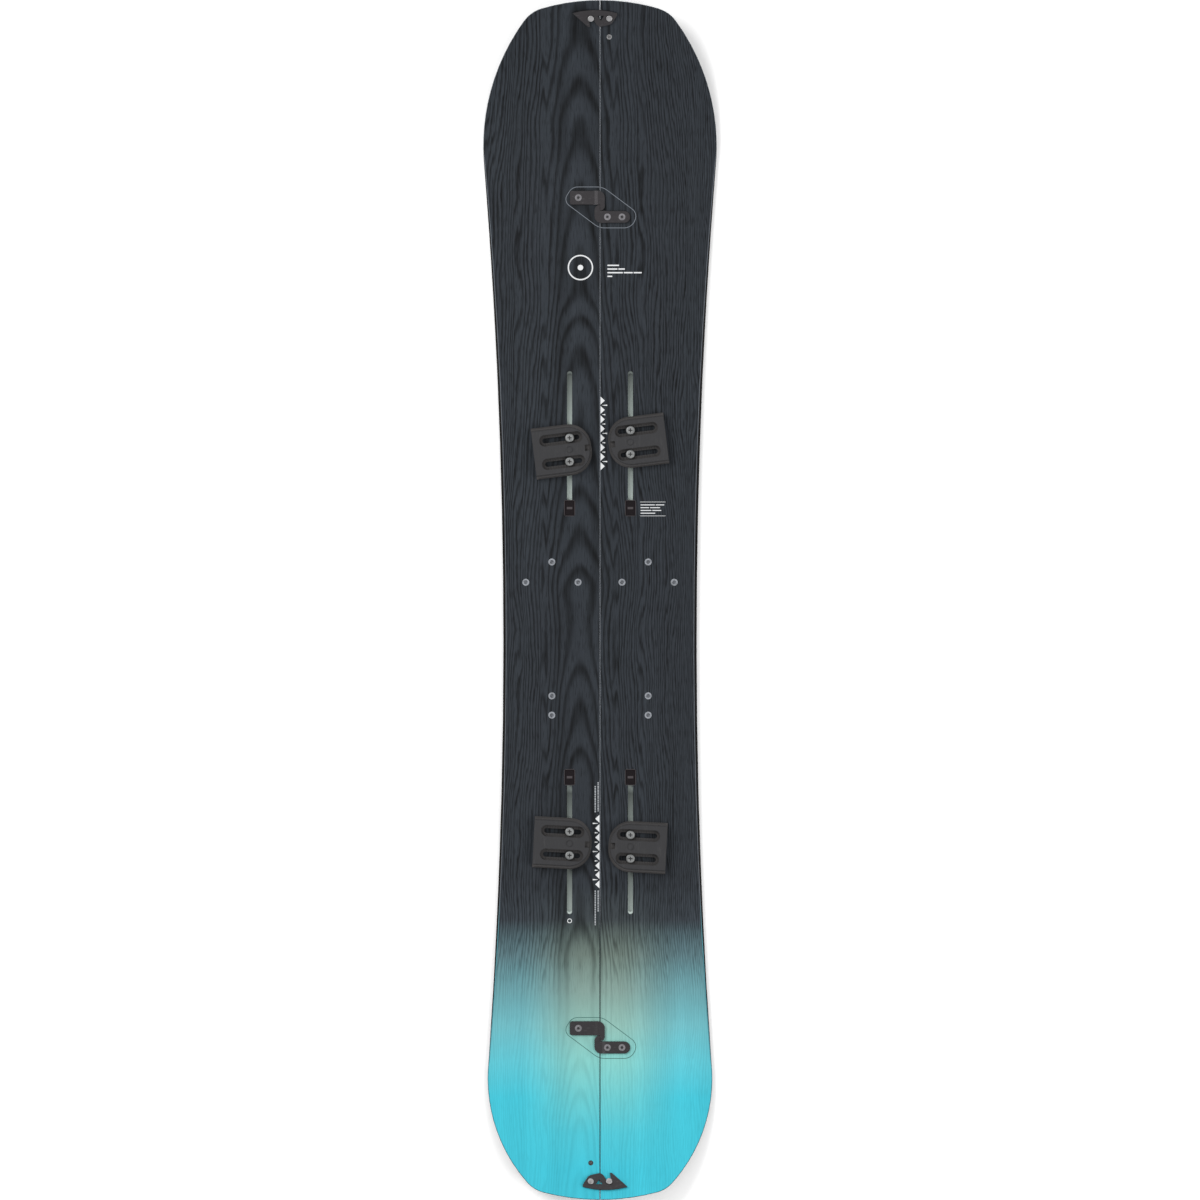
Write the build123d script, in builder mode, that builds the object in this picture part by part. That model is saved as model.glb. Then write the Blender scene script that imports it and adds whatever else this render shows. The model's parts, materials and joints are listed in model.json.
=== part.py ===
from build123d import *
import math
import os

# Splitboard: a snowboard that parts along its centre line into two touring halves.
# Frame: origin on the ground under the middle of the board, X across, +Y to the nose, +Z up.
# The camber arc lifts the middle of the board; nose and tail turn up on rocker arcs.

# ---- driving dimensions, mm and degrees ----
board_length = 1560.0
half_length = board_length / 2
waist_width = 251.5
waist_y = -56.0

nose_width = 303.8
nose_width_y = 590.6
nose_tip_radius = 270.0
nose_corner_radius = 43.5
nose_side_radius = 275.0

tail_width = 292.2
tail_width_y = -622.8
tail_tip_radius = 292.0
tail_corner_radius = 40.5
tail_side_radius = 202.5

nose_contact_y = 560.0
tail_contact_y = -592.0
camber_height = 5.0
rocker_radius = 430.0
nose_kick_angle = 16.0
tail_kick_angle = 15.0
deck_reach = 14.0  # the deck's contact points lie this far outside the base's, so the tips thin out

# Laminate, from the base up
base_thickness = 1.5
lower_laminate = 0.5
upper_laminate = 0.5
topsheet_thickness = 0.7
board_thickness = 8.4
below_core = base_thickness + lower_laminate
above_core = upper_laminate + topsheet_thickness

seam_gap = 0.35  # clear space between the two halves
seam_bevel = 0.5  # topsheet held back from the seam edge
topsheet_margin = 0.7  # topsheet held back from the outer edge
edge_width = 2.2

# Bevelled sidewall: its slope starts at the outline at one level and has run in by these insets at the other
bevel_low_z = 5.0
bevel_high_z = 14.0
bevel_nose_inset = 5.6
bevel_waist_inset = 4.2
bevel_tail_inset = 6.2
bevel_nose_y = 588.0
bevel_tail_y = -614.0
bevel_run_out = 16.0
outer_sidewall_width = 8.5
inner_sidewall_width = 5.0

# Binding channels, one front and one rear on each half
channel_x = 39.6
slot_width = 6.6
slot_into_port = 4.0
front_channel_y = (109.0, 298.0)
rear_channel_y = (-408.7, -220.0)
rail_width = 16.0
rail_lip = 1.1
t_slot_width = 11.8
t_slot_height = 2.7
rail_floor = 0.7
rail_end_wall = 3.0
port_length = 21.2
port_width = 14.3
plug_stem_width = 11.4
plug_corner = 2.4
plug_play = 0.1
plug_frame = 1.6  # rim round the plug's sunk panel
plug_panel_depth = 0.5
plug_bar = (7.4, 3.0)  # plain raised bar in the panel
plug_stem_end_play = 0.5
plug_stem_foot_gap = 0.4

# Touring inserts of one half, (distance from the seam, y)
insert_places = [(28.6, 23.1), (96.6, 23.1), (62.7, 49.5), (62.7, -124.7), (62.7, -149.8)]
insert_flange_radius = 4.5
insert_flange_height = 1.6
insert_barrel_radius = 3.9
insert_height = 6.2
insert_bore_radius = 2.5
insert_bore_depth = 5.4

# Interlocking hooks
hook_places = {"nose": 511.0, "tail": -569.8}
hook_arm_offset = 12.5
hook_arm_length = 39.3
hook_arm_width = {"left": 18.3, "right": 15.8}
hook_lobe_reach = {"left": 6.2, "right": 7.2}
hook_end_corner = {"left": 3.0, "right": 7.8}
hook_lobe_corner = {"left": 5.9, "right": 6.9}
hook_bend_corner = {"left": 9.0, "right": 9.0}
hook_screw_x = {"left": [28.2], "right": [9.6, 28.6]}
hook_plate = 2.4
hook_lift = 0.8  # clear space between a lobe and the other half's deck
hook_gap = 0.35
hook_edge_chamfer = 0.5
joggle_start = 7.0  # the plate steps up by the lift between these distances from the seam
joggle_end = 3.0
hook_screw_head_radius = 4.4
hook_screw_shank_radius = 2.0
hook_screw_length = 7.2
hook_screw_recess = 1.3
star_radius = 1.5
star_point_radius = 0.55

# Tip clips: rotating hook plates on a flat stretch of the nose and the tail
clip_pivot_x = 12.0
clip_pivot_y = 756.9
clip_gap = 0.4
clip_thickness = 2.6
clip_top = clip_gap + clip_thickness
stud_distance = 2 * clip_pivot_x
rivet_radius = 2.5
rivet_running_clearance = 0.05
rivet_head_radius = 4.0
rivet_head_gap = 0.2
rivet_head_height = 1.3
rivet_head_fillet = 0.6
stud_radius = 2.0
stud_head_gap = 1.05
stud_foot = 2.1  # buried length of the rivet and stud shanks
eyelet_distance = 24.7
eyelet_radius = 3.3
eyelet_bore_radius = 2.0

# Half pucks
front_puck_y = 200.3
front_puck_turn = 7.0
rear_puck_y = -318.9
rear_puck_turn = -3.0
puck_half_height = 33.3
puck_outer_reach = 47.0
puck_inner_reach = 28.6
puck_lift = 0.3
puck_foot_top = 3.2
puck_rail_bottom = 6.4
puck_rail_top = 9.2
puck_top = 12.0
puck_groove_half = 27.8
puck_rail_half = 31.6
puck_crown_half = 29.2
puck_groove_inset = 2.8
puck_rail_inset = 1.2
puck_crown_inset = 2.2
puck_end_radius = 29.0
puck_chamfer = 0.9
recess_y = 15.4
recess_width = 15.0
recess_outer = -37.8
recess_inner = 18.6
recess_floor = 5.0
puck_slot_width = 6.4
puck_slot_shorter = 8.0  # than its recess
tooth_count = 13
tooth_pitch = 3.4
tooth_gap = 1.5
tooth_depth = 0.7
tooth_margin = 1.2
lock_notch_length = 9.0
lock_notch_width = 8.0
lock_notch_centre = 4.0  # inboard of the rounded end
index_ring_inner = 3.4
index_ring_outer = 4.6
index_ring_depth = 0.6
washer_radius = 6.2
washer_height = 1.1
screw_head_radius = 5.75
screw_head_height = 3.2
screw_head_fillet = 1.6
screw_shank_radius = 2.9
cross_length = 5.2
cross_width = 1.3
cross_depth = 2.2
nut_width = 11.2
nut_length = 14.0
nut_height = 2.0
nut_corner = 3.0
nut_gap = 0.3

half_span = (nose_contact_y - tail_contact_y) / 2
camber_y = (nose_contact_y + tail_contact_y) / 2
wide = 400.0  # larger than any width or height of the board


# ---- the board's side view ----
def camber_turn(reach):
    """Angle between the contact point and the end of the camber arc."""
    span = half_span + reach
    both_radii = (span**2 + camber_height**2) / (2 * camber_height)
    return math.degrees(math.asin(span / both_radii)), both_radii - rocker_radius


def side_line(lift, reach, extra=8.0):
    """Points the board's side curve into the open line builder, tail tip to nose tip."""
    turn, camber_radius = camber_turn(reach)
    tail_start = tail_contact_y - reach
    nose_start = nose_contact_y + reach
    tail_run = -half_length - extra
    kick = math.radians(tail_kick_angle)
    arc_y = tail_start - rocker_radius * math.sin(kick)
    arc_z = lift + rocker_radius * (1 - math.cos(kick))
    tail_tip = (tail_run, arc_z + (arc_y - tail_run) * math.tan(kick))
    straight = Line(tail_tip, (arc_y, arc_z))
    tail_arc = JernArc(straight @ 1, straight % 1, rocker_radius, tail_kick_angle + turn)
    middle = JernArc(tail_arc @ 1, tail_arc % 1, camber_radius, -2 * turn)
    nose_arc = JernArc(middle @ 1, middle % 1, rocker_radius, nose_kick_angle + turn)
    rise = math.radians(nose_kick_angle)
    nose_y = nose_start + rocker_radius * math.sin(rise)
    nose_z = lift + rocker_radius * (1 - math.cos(rise))
    nose_run = half_length + extra
    nose_tip = (nose_run, nose_z + (nose_run - nose_y) * math.tan(rise))
    Line(nose_arc @ 1, nose_tip)
    return tail_tip, nose_tip


def curved_layer(low_lift, low_reach, high_lift, high_reach):
    """A full-width layer between two side curves."""
    with BuildPart(mode=Mode.PRIVATE) as layer:
        with BuildSketch(Plane.YZ):
            with BuildLine():
                low_tail, low_nose = side_line(low_lift, low_reach)
                high_tail, high_nose = side_line(high_lift, high_reach)
                Line(low_tail, high_tail)
                Line(low_nose, high_nose)
            make_face()
        extrude(amount=wide / 2, both=True)
    return layer.part


def under_deck(top_depth, bottom_depth):
    """A layer measured down from the deck; negative depths stand above it."""
    return curved_layer(
        board_thickness - bottom_depth, deck_reach, board_thickness - top_depth, deck_reach
    )


deck_camber_radius = camber_turn(deck_reach)[1]
deck_crown_z = board_thickness + camber_height


def deck_height(y):
    """Height of the deck on the camber arc."""
    along = y - camber_y
    return deck_crown_z - deck_camber_radius + math.sqrt(deck_camber_radius**2 - along**2)


def deck_plane(x, y, x_dir=(1, 0, 0)):
    """Plane tangent to the cambered deck at (x, y)."""
    along = y - camber_y
    normal = Vector(0, along, math.sqrt(deck_camber_radius**2 - along**2)).normalized()
    flat = Vector(*x_dir)
    return Plane(origin=(x, y, deck_height(y)), x_dir=flat - normal * flat.dot(normal), z_dir=normal)


def tip_plane(end, x, y):
    """Plane on the flat kicked deck of the nose (end = 1) or tail (end = -1)."""
    angle = math.radians(nose_kick_angle if end > 0 else tail_kick_angle)
    contact = nose_contact_y if end > 0 else -tail_contact_y
    flat_start = contact + deck_reach + rocker_radius * math.sin(angle)
    flat_z = board_thickness + rocker_radius * (1 - math.cos(angle))
    height = flat_z + (abs(y) - flat_start) * math.tan(angle)
    normal = (0, -end * math.sin(angle), math.cos(angle))
    return Plane(origin=(x, y, height), x_dir=(1, 0, 0), z_dir=normal)


# ---- the board's outline from above ----
def end_turns(width, width_y, tip_radius, corner_radius, side_radius, waist):
    """Turn of each arc from the tip's middle to the sidecut, and the sidecut's radius."""
    end_y = abs(width_y)
    tip_centre = Vector(0, half_length - tip_radius)
    side_centre = Vector(width / 2 - side_radius, end_y)
    tip_reach = tip_radius - corner_radius
    side_reach = side_radius - corner_radius
    gap = side_centre - tip_centre
    along = (tip_reach**2 - side_reach**2 + gap.length**2) / (2 * gap.length)
    out = math.sqrt(tip_reach**2 - along**2)
    unit = gap.normalized()
    corner_centre = tip_centre + unit * along + Vector(unit.Y, -unit.X) * out
    if corner_centre.X < 0:
        corner_centre = tip_centre + unit * along - Vector(unit.Y, -unit.X) * out
    to_corner = corner_centre - tip_centre
    to_side = corner_centre - side_centre
    tip_turn = math.degrees(math.atan2(to_corner.X, to_corner.Y))
    corner_turn = 90 - math.degrees(math.atan2(to_side.Y, to_side.X)) - tip_turn
    narrowing = (width - waist) / 2
    run = end_y - math.copysign(1, width_y) * waist_y
    sidecut_radius = (narrowing**2 + run**2) / (2 * narrowing) - side_radius
    sidecut_turn = math.degrees(math.asin(run / (sidecut_radius + side_radius)))
    side_turn = 90 - tip_turn - corner_turn + sidecut_turn
    return tip_turn, corner_turn, side_turn, sidecut_turn, sidecut_radius


def outline_face(waist):
    """Right half of the board's outline as lines and arcs, closed on the centre line."""
    nose = end_turns(
        nose_width, nose_width_y, nose_tip_radius, nose_corner_radius, nose_side_radius, waist
    )
    tail = end_turns(
        tail_width, tail_width_y, tail_tip_radius, tail_corner_radius, tail_side_radius, waist
    )
    with BuildSketch(mode=Mode.PRIVATE) as face:
        with BuildLine():
            nose_tip = JernArc((0, half_length), (1, 0), nose_tip_radius, -nose[0])
            nose_corner = JernArc(nose_tip @ 1, nose_tip % 1, nose_corner_radius, -nose[1])
            nose_side = JernArc(nose_corner @ 1, nose_corner % 1, nose_side_radius, -nose[2])
            tail_tip = JernArc((0, -half_length), (1, 0), tail_tip_radius, tail[0])
            tail_corner = JernArc(tail_tip @ 1, tail_tip % 1, tail_corner_radius, tail[1])
            tail_side = JernArc(tail_corner @ 1, tail_corner % 1, tail_side_radius, tail[2])
            ThreePointArc(nose_side @ 1, (waist / 2, waist_y), tail_side @ 1)
            Line((0, half_length), (0, -half_length))
        make_face()
        mirror(about=Plane.YZ)
    return face.sketch


outer_outline = outline_face(waist_width)
with BuildSketch() as topsheet_sketch:
    add(outer_outline)
    offset(amount=-topsheet_margin, kind=Kind.INTERSECTION)


def half_strip(side, near, far=wide):
    """Rectangle over one half, from near to far of the centre line."""
    with BuildSketch(mode=Mode.PRIVATE) as strip:
        with Locations((side * (near + far) / 2, 0)):
            Rectangle(far - near, 4 * half_length)
    return strip.sketch


def prism(face, low=-10.0, high=90.0):
    """Upright solid over a plan outline."""
    with BuildPart(mode=Mode.PRIVATE) as block:
        with BuildSketch(Plane.XY.offset(low)):
            add(face)
        extrude(amount=high - low)
    return block.part


def bevel_region(level, nose_inset, waist_inset, tail_inset):
    """Plan of what the right sidewall's bevel takes off at one level."""
    nose_edge = (nose_width / 2, bevel_nose_y)
    nose_end = (nose_width / 2 - nose_inset, bevel_nose_y - bevel_run_out)
    tail_edge = (tail_width / 2, bevel_tail_y)
    tail_end = (tail_width / 2 - tail_inset, bevel_tail_y + bevel_run_out)
    with BuildSketch(Plane.XY.offset(level), mode=Mode.PRIVATE) as region:
        with BuildLine():
            Line(nose_edge, nose_end)
            ThreePointArc(nose_end, (waist_width / 2 - waist_inset, waist_y), tail_end)
            Line(tail_end, tail_edge)
            Polyline(tail_edge, (wide / 2, bevel_tail_y), (wide / 2, bevel_nose_y), nose_edge)
        make_face()
    return region.sketch


def bevelled_form(outline, inward):
    """Upright body over an outline, less the bevel along both sidecuts moved inward."""
    low_insets = (inward, inward, inward)
    high_insets = (
        bevel_nose_inset + inward,
        bevel_waist_inset + inward,
        bevel_tail_inset + inward,
    )
    with BuildPart(mode=Mode.PRIVATE) as waste:
        add(bevel_region(bevel_low_z, *low_insets))
        add(bevel_region(bevel_high_z, *high_insets))
        loft(ruled=True)
        add(bevel_region(bevel_high_z, *high_insets))
        extrude(amount=wide)
        mirror(about=Plane.YZ)
    return prism(outline) - waste.part


board_form = bevelled_form(outer_outline, 0)
topsheet_form = bevelled_form(topsheet_sketch.sketch, topsheet_margin)
with BuildSketch() as core_sketch:
    add(outer_outline)
    offset(amount=-outer_sidewall_width, kind=Kind.INTERSECTION)
core_outline = core_sketch.sketch


def place_slot(y_range, into_port):
    """Centre and length of a channel's slot, which runs a little way into its port."""
    low, high = y_range
    if high > 0:
        low = low + port_length - into_port
    else:
        high = high - port_length + into_port
    return (low + high) / 2, high - low


def plug_y(y_range):
    """Centre of the plug, which fills the channel's end nearest the waist."""
    low, high = y_range
    return low + port_length / 2 if high > 0 else high - port_length / 2


sides = {"left": -1, "right": 1}
channels = {"front": front_channel_y, "rear": rear_channel_y}


def rail_block(side, y_range, width, top_depth, bottom_depth):
    """Curved bar under the deck, along one channel."""
    low, high = y_range
    with BuildSketch(mode=Mode.PRIVATE) as plan:
        with Locations((side * channel_x, (low + high) / 2)):
            Rectangle(width, high - low)
    return prism(plan.sketch) & under_deck(top_depth, bottom_depth)


def round_holes(places, radius):
    """Upright cylinders through the deck."""
    with BuildPart(mode=Mode.PRIVATE) as drill:
        with BuildSketch():
            with Locations(*places):
                Circle(radius)
        extrude(amount=wide)
    return drill.part


def plug_sketch(side, y_range, inset=0.0):
    """Outline of a plug's cap."""
    with BuildSketch(mode=Mode.PRIVATE) as cap:
        with Locations((side * channel_x, plug_y(y_range))):
            RectangleRounded(port_width - 2 * inset, port_length - 2 * inset, plug_corner)
    return cap.sketch


def hook_screw_places(name, y):
    """Screw centres of one hook."""
    side = sides[name]
    return [(side * x, y - side * hook_arm_offset) for x in hook_screw_x[name]]


def hook_screw_holes(name):
    """Holes square to the deck for the shanks of one half's hook screws."""
    holes = []
    for y in hook_places.values():
        for x, screw_y in hook_screw_places(name, y):
            with BuildPart(mode=Mode.PRIVATE) as hole:
                with BuildSketch(deck_plane(x, screw_y).offset(hook_plate - hook_screw_length)):
                    Circle(hook_screw_shank_radius)
                extrude(amount=hook_screw_length + hook_plate)
            holes.append(hole.part)
    return holes


def hook_plan(name):
    """Plan of a hook in its half's own axes: x away from the seam, the arm on the -y side."""
    other = "right" if name == "left" else "left"
    reach = hook_lobe_reach[name]
    arm_low = -hook_arm_offset - hook_arm_width[name] / 2
    arm_high = -hook_arm_offset + hook_arm_width[name] / 2
    lobe_high = hook_arm_offset - hook_arm_width[other] / 2 - hook_gap
    lobe_side = -hook_gap / 2
    rounded = [
        ((-reach, arm_low), hook_bend_corner[name]),
        ((hook_arm_length, arm_low), hook_end_corner[name]),
        ((hook_arm_length, arm_high), hook_end_corner[name]),
        ((-reach, lobe_high), hook_lobe_corner[name]),
    ]
    with BuildSketch(mode=Mode.PRIVATE) as plan:
        with BuildLine():
            Polyline(
                (-reach, arm_low),
                (hook_arm_length, arm_low),
                (hook_arm_length, arm_high),
                (lobe_side, arm_high),
                (lobe_side, lobe_high),
                (-reach, lobe_high),
                close=True,
            )
        make_face()
        for corner, radius in rounded:
            fillet(plan.vertices().sort_by_distance(corner)[0], radius)
    return plan.sketch


def hook_profile():
    """Side view of a hook's plate, which steps up before it crosses the seam."""
    far = hook_arm_length + hook_plate
    top = hook_lift + hook_plate
    with BuildSketch(mode=Mode.PRIVATE) as profile:
        with BuildLine():
            Polyline(
                (far, 0),
                (joggle_start, 0),
                (joggle_end, hook_lift),
                (-far, hook_lift),
                (-far, top),
                (joggle_end, top),
                (joggle_start, hook_plate),
                (far, hook_plate),
                close=True,
            )
        make_face()
    return profile.sketch


def tip_shanks(side):
    """(end, x, y, radius, depth) of the rivet and stud of one half."""
    end = side  # nose clip pivots on the right half, tail clip on the left
    return [
        (end, side * clip_pivot_x, end * clip_pivot_y, rivet_radius, stud_foot),
        (-end, side * clip_pivot_x, -end * clip_pivot_y, stud_radius, stud_foot),
    ]


def eyelet_hole(side, radius):
    """Upright hole through the whole board, inboard of the half's clip pivot."""
    return round_holes([(side * clip_pivot_x, side * (clip_pivot_y - eyelet_distance))], radius)


def deck_cuts(side):
    """Everything that passes through the topsheet and the upper laminate."""
    cuts = [round_holes([(side * x, y) for x, y in insert_places], insert_flange_radius)]
    for y_range in channels.values():
        middle, length = place_slot(y_range, slot_into_port)
        with BuildSketch(mode=Mode.PRIVATE) as slot:
            with Locations((side * channel_x, middle)):
                SlotOverall(length, slot_width, rotation=90)
        cuts.append(prism(slot.sketch))
        cuts.append(prism(plug_sketch(side, y_range)))
    return cuts


def shank_holes(side):
    """Holes square to the kicked nose and tail decks."""
    holes = []
    for end, x, y, radius, depth in tip_shanks(side):
        with BuildPart(mode=Mode.PRIVATE) as hole:
            with BuildSketch(tip_plane(end, x, y).offset(-depth)):
                Circle(radius)
            extrude(amount=depth + clip_top)
        holes.append(hole.part)
    return holes


base_layer = curved_layer(0, 0, base_thickness, 0)
lower_layer = curved_layer(base_thickness, 0, below_core, 0)
core_layer = curved_layer(below_core, 0, board_thickness - above_core, deck_reach)
upper_layer = under_deck(topsheet_thickness, above_core)
top_layer = under_deck(0, topsheet_thickness)

os.makedirs("parts", exist_ok=True)


def write(piece, label):
    """Label a finished piece and write its STEP file."""
    piece.part.label = label
    export_step(piece.part, f"parts/{label}.step")


# ---- board halves ----
for name, side in sides.items():
    half = half_strip(side, seam_gap / 2)
    eyelet_way = eyelet_hole(side, eyelet_radius)
    holes = shank_holes(side) + hook_screw_holes(name) + [eyelet_way]
    cuts = deck_cuts(side)

    with BuildSketch() as half_plan:
        add(outer_outline)
        add(half, mode=Mode.INTERSECT)
    with BuildSketch() as base_plan:
        add(half_plan.sketch)
        offset(amount=-edge_width, kind=Kind.INTERSECTION)
    with BuildSketch() as edge_plan:
        add(half_plan.sketch)
        add(base_plan.sketch, mode=Mode.SUBTRACT)

    with BuildPart() as base:
        add(prism(base_plan.sketch))
        add(base_layer, mode=Mode.INTERSECT)
        add(eyelet_way, mode=Mode.SUBTRACT)
    write(base, f"{name}_base")

    with BuildPart() as steel_edge:
        add(prism(edge_plan.sketch))
        add(base_layer, mode=Mode.INTERSECT)
    write(steel_edge, f"{name}_steel_edge")

    with BuildPart() as lower_glass:
        add(prism(half_plan.sketch))
        add(lower_layer, mode=Mode.INTERSECT)
        add(eyelet_way, mode=Mode.SUBTRACT)
    write(lower_glass, f"{name}_lower_laminate")

    with BuildSketch() as core_plan:
        add(core_outline)
        add(half_strip(side, seam_gap / 2 + inner_sidewall_width), mode=Mode.INTERSECT)
    with BuildSketch() as inner_plan:
        add(core_outline)
        add(half_strip(side, seam_gap / 2, seam_gap / 2 + inner_sidewall_width), mode=Mode.INTERSECT)
    with BuildSketch() as outer_plan:
        add(half_plan.sketch)
        add(core_outline, mode=Mode.SUBTRACT)

    with BuildPart() as core:
        add(prism(core_plan.sketch))
        add(core_layer, mode=Mode.INTERSECT)
        for y_range in channels.values():
            bottom = above_core + rail_lip + t_slot_height + rail_floor
            add(rail_block(side, y_range, rail_width, above_core, bottom), mode=Mode.SUBTRACT)
        for x, y in insert_places:
            top = deck_height(y)
            for radius, depth in (
                (insert_flange_radius, insert_flange_height),
                (insert_barrel_radius, insert_height),
            ):
                with BuildSketch(Plane.XY.offset(top - depth)):
                    with Locations((side * x, y)):
                        Circle(radius)
                extrude(amount=wide, mode=Mode.SUBTRACT)
        for hole in holes:
            add(hole, mode=Mode.SUBTRACT)
    write(core, f"{name}_core")

    with BuildPart() as outer_sidewall:
        add(board_form)
        add(prism(outer_plan.sketch), mode=Mode.INTERSECT)
        add(core_layer, mode=Mode.INTERSECT)
    write(outer_sidewall, f"{name}_outer_sidewall")

    with BuildPart() as inner_sidewall:
        add(prism(inner_plan.sketch))
        add(core_layer, mode=Mode.INTERSECT)
    write(inner_sidewall, f"{name}_inner_sidewall")

    with BuildPart() as upper_glass:
        add(board_form)
        add(prism(half), mode=Mode.INTERSECT)
        add(upper_layer, mode=Mode.INTERSECT)
        for cut in cuts + holes:
            add(cut, mode=Mode.SUBTRACT)
    write(upper_glass, f"{name}_upper_laminate")

    with BuildPart() as topsheet:
        add(topsheet_form)
        add(prism(half_strip(side, seam_gap / 2 + seam_bevel)), mode=Mode.INTERSECT)
        add(top_layer, mode=Mode.INTERSECT)
        for cut in cuts + holes:
            add(cut, mode=Mode.SUBTRACT)
    write(topsheet, f"{name}_topsheet")

    # Aluminium rails with a T-slot, and the plugs that close their loading ports
    for place, y_range in channels.items():
        low, high = y_range
        inside = (low + rail_end_wall, high - rail_end_wall)
        lip_depth = above_core + rail_lip
        slot_depth = lip_depth + t_slot_height
        middle, length = place_slot(y_range, port_length / 2)
        port_y = plug_y(y_range)
        with BuildPart() as rail:
            add(rail_block(side, y_range, rail_width, above_core, slot_depth + rail_floor))
            cavity = rail_block(side, inside, t_slot_width, lip_depth, slot_depth)
            add(cavity, mode=Mode.SUBTRACT)
            with BuildSketch(mode=Mode.PRIVATE) as opening:
                with Locations((side * channel_x, middle)):
                    SlotOverall(length - 2 * rail_end_wall, slot_width, rotation=90)
                with Locations((side * channel_x, port_y)):
                    Rectangle(plug_stem_width, port_length - 2 * rail_end_wall)
            lip_cut = prism(opening.sketch) & under_deck(0, lip_depth + t_slot_height / 2)
            add(lip_cut, mode=Mode.SUBTRACT)
        write(rail, f"{name}_{place}_channel")

        stem_length = port_length - 2 * rail_end_wall - 2 * plug_stem_end_play
        with BuildPart() as plug:
            add(prism(plug_sketch(side, y_range, plug_play)) & under_deck(0, above_core))
            with BuildSketch(Plane.XY, mode=Mode.PRIVATE) as stem:
                with Locations((side * channel_x, port_y)):
                    Rectangle(plug_stem_width - 2 * plug_play, stem_length)
            add(prism(stem.sketch) & under_deck(above_core, slot_depth - plug_stem_foot_gap))
            with BuildSketch(deck_plane(side * channel_x, port_y).offset(-plug_panel_depth)):
                RectangleRounded(
                    port_width - 2 * plug_frame, port_length - 2 * plug_frame, plug_corner - plug_play
                )
                SlotOverall(*plug_bar, mode=Mode.SUBTRACT)
            extrude(amount=plug_corner, mode=Mode.SUBTRACT)
        write(plug, f"{name}_{place}_channel_plug")

    with BuildPart() as inserts:
        for x, y in insert_places:
            top = deck_height(y)
            with BuildSketch(Plane.XY.offset(top - insert_height)):
                with Locations((side * x, y)):
                    Circle(insert_barrel_radius)
            extrude(amount=insert_height)
            with BuildSketch(Plane.XY.offset(top - insert_flange_height)):
                with Locations((side * x, y)):
                    Circle(insert_flange_radius)
            extrude(amount=insert_flange_height)
            with BuildSketch(Plane.XY.offset(top)):
                with Locations((side * x, y)):
                    Circle(insert_bore_radius)
            extrude(amount=-insert_bore_depth, mode=Mode.SUBTRACT)
    write(inserts, f"{name}_touring_inserts")

    # Interlocking hooks: an arm screwed to this half and a lobe that reaches over the other
    for end_name, y in hook_places.items():
        hook_plane = deck_plane(0, y, (side, 0, 0))
        side_plane = Plane(
            origin=hook_plane.origin, x_dir=hook_plane.x_dir, z_dir=-hook_plane.y_dir
        )
        with BuildPart() as hook:
            with BuildSketch(hook_plane.offset(-hook_plate)):
                add(hook_plan(name))
            extrude(amount=4 * hook_plate)
            with BuildSketch(side_plane):
                add(hook_profile())
            extrude(amount=hook_arm_length, both=True, mode=Mode.INTERSECT)
            by_height = hook.faces().sort_by(Axis(hook_plane.origin, hook_plane.z_dir))
            arm_top = [f for f in by_height if f.normal_at().dot(hook_plane.z_dir) > 0.999][0]
            outer_edges = arm_top.edges().sort_by(Axis(hook_plane.origin, hook_plane.x_dir))[1:]
            chamfer(outer_edges, hook_edge_chamfer)
            for x, screw_y in hook_screw_places(name, y):
                with Locations(deck_plane(x, screw_y).offset(hook_plate)):
                    CounterSinkHole(hook_screw_shank_radius, hook_screw_head_radius, counter_sink_angle=90)
        write(hook, f"{name}_{end_name}_hook")

    with BuildPart() as hook_screws:
        cone = hook_screw_head_radius - hook_screw_shank_radius
        for y in hook_places.values():
            for x, screw_y in hook_screw_places(name, y):
                seat = deck_plane(x, screw_y)
                with BuildSketch(seat.offset(hook_plate - hook_screw_length)):
                    Circle(hook_screw_shank_radius)
                extrude(amount=hook_screw_length)
                with BuildSketch(seat.offset(hook_plate - cone)):
                    Circle(hook_screw_shank_radius)
                with BuildSketch(seat.offset(hook_plate)):
                    Circle(hook_screw_head_radius)
                loft()
                with BuildSketch(seat.offset(hook_plate - hook_screw_recess)):
                    Circle(star_radius)
                    with PolarLocations(star_radius, 6):
                        Circle(star_point_radius)
                extrude(amount=2 * hook_screw_recess, mode=Mode.SUBTRACT)
    write(hook_screws, f"{name}_hook_screws")

    # Rivet and stud of the tip clips, and the eyelet beside the rivet
    rivet_set, stud_set = tip_shanks(side)
    pivot_name = "nose" if side > 0 else "tail"
    stud_name = "tail" if side > 0 else "nose"
    for set_in, label, head_gap in (
        (rivet_set, f"{name}_{pivot_name}_clip_rivet", rivet_head_gap),
        (stud_set, f"{name}_{stud_name}_clip_stud", stud_head_gap),
    ):
        end, x, y, radius, depth = set_in
        seat = tip_plane(end, x, y)
        with BuildPart() as headed_pin:
            with BuildSketch(seat.offset(-depth)):
                Circle(radius)
            extrude(amount=depth + clip_top + head_gap)
            with BuildSketch(seat.offset(clip_top + head_gap)):
                Circle(rivet_head_radius)
            extrude(amount=rivet_head_height)
            rings = headed_pin.edges().filter_by(GeomType.CIRCLE)
            fillet(rings.sort_by(Axis(seat.origin, seat.z_dir))[-1], rivet_head_fillet)
        write(headed_pin, label)

    with BuildPart() as eyelet:
        add(eyelet_way)
        add(eyelet_hole(side, eyelet_bore_radius), mode=Mode.SUBTRACT)
        add(curved_layer(0, 0, board_thickness, deck_reach), mode=Mode.INTERSECT)
    write(eyelet, f"{name}_{pivot_name}_eyelet")

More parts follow.
